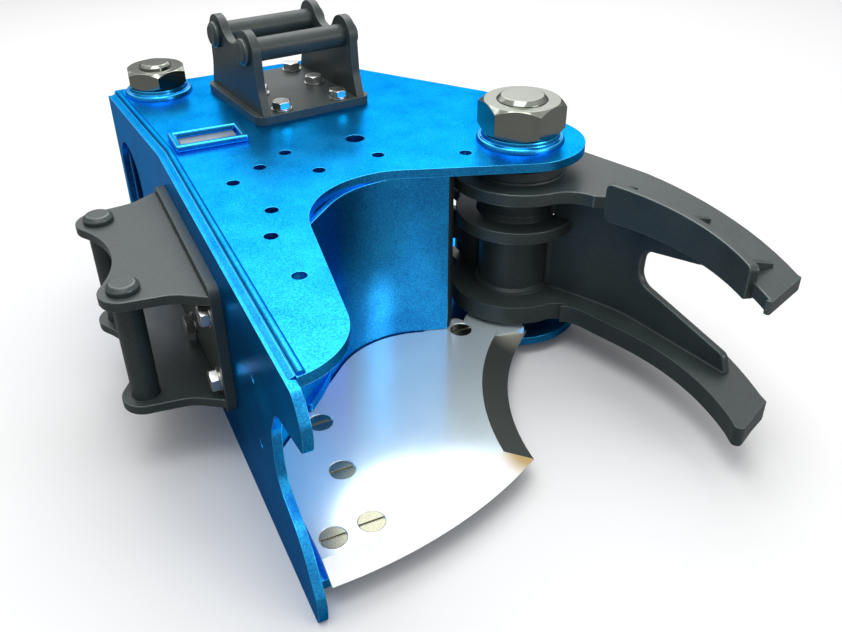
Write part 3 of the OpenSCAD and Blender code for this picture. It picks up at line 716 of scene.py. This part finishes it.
def rounded(corners):
    points = []
    for i, (x, y, radius) in enumerate(corners):
        here = Vector((x, y))
        a = (Vector(corners[i - 1][:2]) - here).normalized()
        b = (Vector(corners[(i + 1) % len(corners)][:2]) - here).normalized()
        half = a.angle(b) / 2
        centre = here + (a + b).normalized() * radius / sin(half)
        tangents = [here + side * radius * cos(half) / sin(half) - centre for side in (a, b)]
        points += [centre + radius * tangents[0].slerp(tangents[1], k / 4) for k in range(5)]
    return points


bm = bmesh.new()
pattern = bm.faces.new([bm.verts.new((p.x, 0, p.y)) for p in rounded(push_corners)])
extrude_by(bm, [pattern], (0, push_t, 0))
for i in range(1, push_slices):
    slice_at(bm, (push_long * i / push_slices, 0, 0), (1, 0, 0))
for v in bm.verts:
    turn = radians(push_start) - v.co.x / push_r
    reach = push_r + v.co.y
    v.co = Vector((push_centre.x + reach * cos(turn), push_centre.y + reach * sin(turn), v.co.z))
face_outwards(bm)
# The rounded edges get the painted highlight finish
round_edges(bm, 2, sharp=50, painted_edge_highlight=True)
set_piece(bm, "push_plate_finished", "push_plate", crease=35)
print(f"push plate {push_long * 1000:.0f} mm long, rolled to a radius of {push_r * 1000:.0f} mm")

# %% [markdown]
# ## The fins
# Three fins hold the push plate from behind. Each is a triangle with a blunt end, drawn upright at the
# origin, extruded by its thickness, and then turned and moved to its place on the tine.

# %% Fins behind the push plate
fin_long, fin_high, fin_blunt, fin_t = 0.044, 0.020, 0.005, 0.010
# Place in millimetres and turn in degrees
fin_places = ((80, -180, 20), (110, -306, 6), (96, -446, 3))
fin_side = ((0, 0), (fin_long, 0), (fin_long, fin_blunt), (0, fin_high))
fins = bmesh.new()
for x, y, turn in fin_places:
    start = [fins.verts.new((along, -fin_t / 2, high)) for along, high in fin_side]
    both_sides = start + extrude_by(fins, [fins.faces.new(start)], (0, fin_t, 0))
    bmesh.ops.rotate(fins, verts=both_sides, matrix=Matrix.Rotation(radians(turn), 3, "Z"))
    bmesh.ops.translate(fins, verts=both_sides, vec=mm(x, y, 0) + Vector((0, 0, tine_top)))
face_outwards(fins)
# The rounded edges get the painted highlight finish
round_edges(fins, 1.4, painted_edge_highlight=True)
set_piece(fins, "push_fins", "push_gussets")
print(f"{len(fin_places)} fins, {fin_long * 1000:.0f} mm long")

# %% [markdown]
# ## Weld beads
# Where two plates meet, a welder lays a bead, and under paint it reads as a soft rope in the corner that
# catches a thin line of light. A curve with a round bevel is the shortest way to such a rope: it is drawn
# along the seam, made a mesh, and sinks half into both plates.

# %% Beads along the seams
low_top, hub_bead_r = 0.094, 0.063
web_foot_mm = ((43, -62), (66, -106), (84, -142), (96, -168), (106, -196), (112, -224), (119, -262),
               (132, -333), (145, -404))
web_seam, web_seam_heights = (0.0435, -0.051), {"lower": (0.100, 0.210), "upper": (0.240, 0.288)}
top_seam, top_seam_down = ((-0.5425, -0.462), (-0.5425, 0.202), (-0.5700, 0.530)), 0.002
hub_seam_heights = (low_top, 0.214, 0.236, 0.290, 0.312)


def bead(name, node, points, radius_mm):
    curve = bpy.data.curves.new(name, "CURVE")
    curve.dimensions = "3D"
    curve.bevel_depth, curve.bevel_resolution, curve.use_fill_caps = radius_mm / 1000, 3, True
    line = curve.splines.new("POLY")
    line.points.add(len(points) - 1)
    for knot, point in zip(line.points, points):
        knot.co = (*point, 1)
    rope = link(name, curve)
    bpy.context.view_layer.update()
    mesh = bpy.data.meshes.new_from_object(rope.evaluated_get(bpy.context.evaluated_depsgraph_get()))
    bpy.data.objects.remove(rope)
    bm = bmesh.new()
    bm.from_mesh(mesh)
    bmesh.ops.remove_doubles(bm, verts=bm.verts, dist=same_cut)
    set_piece(bm, name, node, replace=False)


web_foot = [mm(x, y, 0) + Vector((0, 0, low_top)) for x, y in web_foot_mm]
bead("web_foot_bead", "claw_web", web_foot, radius_mm=4)
for part, heights in web_seam_heights.items():
    bead(f"hub_{part}_bead", "claw_hub", [Vector((*web_seam, z)) for z in heights], radius_mm=9)
seam_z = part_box("top_plate")[1][2] - top_seam_down
bead("top_seam_bead", "edge_weld", [Vector((x, y, seam_z)) for x, y in top_seam], radius_mm=6.5)
around = arc((0, 0), hub_bead_r, 0, 360, step=10)
for i, z in enumerate(hub_seam_heights):
    bead(f"hub_bead_{i}", "claw_hub", [Vector((p.x, p.y, z)) for p in around], radius_mm=4)

# %% [markdown]
# ## Stepped rings
# Round the hub each tine carries a turned ring with low steps. Turning is a job for spin: half of the
# section is drawn once and swept a full turn round the pin's axis. The spin's first and last copies are
# merged.

# %% Rings on both tines
# Radius and height of each point in millimetres
upper_ring = [(61, 0), (82, 0), (81, 2.5), (79, 3.5), (74, 3.5), (73, 6), (71.5, 7), (61, 7)]
lower_ring = [(61, 0), (70, 0), (69, 2.5), (67.5, 3.2), (61, 3.2)]
ring_steps = 72


def turned_ring(name, node, low, profile_mm):
    bm = bmesh.new()
    knots = [bm.verts.new((r / 1000, 0, low + z / 1000)) for r, z in profile_mm]
    half = [bm.edges.new((knots[i - 1], knots[i])) for i in range(1, len(knots))]
    bmesh.ops.spin(bm, geom=knots + half, cent=(0, 0, 0), axis=(0, 0, 1), angle=2 * pi, steps=ring_steps,
                   use_merge=True)
    bmesh.ops.remove_doubles(bm, verts=bm.verts, dist=same_cut)
    return set_piece(bm, name, node, crease=40, replace=False)


rings = [turned_ring("tine_ring", "upper_tine", tine_top, upper_ring),
         turned_ring("lower_tine_ring", "lower_tine", low_top, lower_ring)]
print("rings:", [(ring.name, len(ring.data.polygons)) for ring in rings])

# %% [markdown]
# ## The foot of the throat wall
# At its front end the throat wall has a low foot over the blade. It is a raised plate with rounded edges,
# and a fine gap keeps it off the blade's face.

# %% Foot of the throat wall
foot_line = [mm(-456, -160), mm(-449, -165), mm(-420, -134), mm(-398, -106), mm(-384, -84), mm(-386, -76),
             mm(-392, -80)]
foot_gap, foot_high = 0.0004, 0.015
foot = raised_plate(foot_line, blade_top + foot_gap, foot_high)
# The rounded edges get the painted highlight finish
round_edges(foot, 1.5, sharp=50, painted_edge_highlight=True)
set_piece(foot, "throat_foot", "throat_wall", replace=False)
print(f"foot {foot_high * 1000:.0f} mm high")

# %% [markdown]
# ## A black sheet of painted shade, and a bent flange
# Behind the throat wall a black sheet fills the gap to the claw: painted shade, a dark sheet where there
# is only shade. The outer wall ends in a flange that is bent inwards. Each is a thin upright sheet: the edges
# along its foot are extruded upwards, and the solidify operator gives it its thickness. The flange is a
# little
# too long here: its end touches the cylinder's barrel.

# %% Black sheet of painted shade and rear flange
strip_line = [mm(-157, -47), mm(-141, -25), mm(-129, -2), mm(-127, 24), mm(-130, 50)]
strip_low, strip_high, strip_t = 0.055, 0.345, 0.004
flange_line = [mm(-574, 520), mm(-574.5, 537), mm(-571, 542), mm(-522, 547)]
flange_low, flange_high, flange_t = 0.040, 0.344, 0.005


def upright_sheet(name, node, foot_line, low, high, thick, paint=None):
    bm = bmesh.new()
    knots = [bm.verts.new((p.x, p.y, low)) for p in foot_line]
    line = [bm.edges.new((knots[i - 1], knots[i])) for i in range(1, len(knots))]
    raised = bmesh.ops.extrude_edge_only(bm, edges=line)["geom"]
    bmesh.ops.translate(bm, verts=[g for g in raised if isinstance(g, bmesh.types.BMVert)],
                        vec=(0, 0, high - low))
    bmesh.ops.solidify(bm, geom=bm.faces[:], thickness=thick)
    face_outwards(bm)
    round_edges(bm, 0.8)
    set_piece(bm, name, node, replace=False, paint=paint)


# The black sheet is painted shade in the gap between throat wall and claw
upright_sheet("painted_shade_sheet", "throat_wall", strip_line, strip_low, strip_high, strip_t, paint="shade_black")
upright_sheet("rear_flange", "outer_wall", flange_line, flange_low, flange_high, flange_t)
print(f"strip from {strip_low} to {strip_high} m, flange from {flange_low} to {flange_high} m")
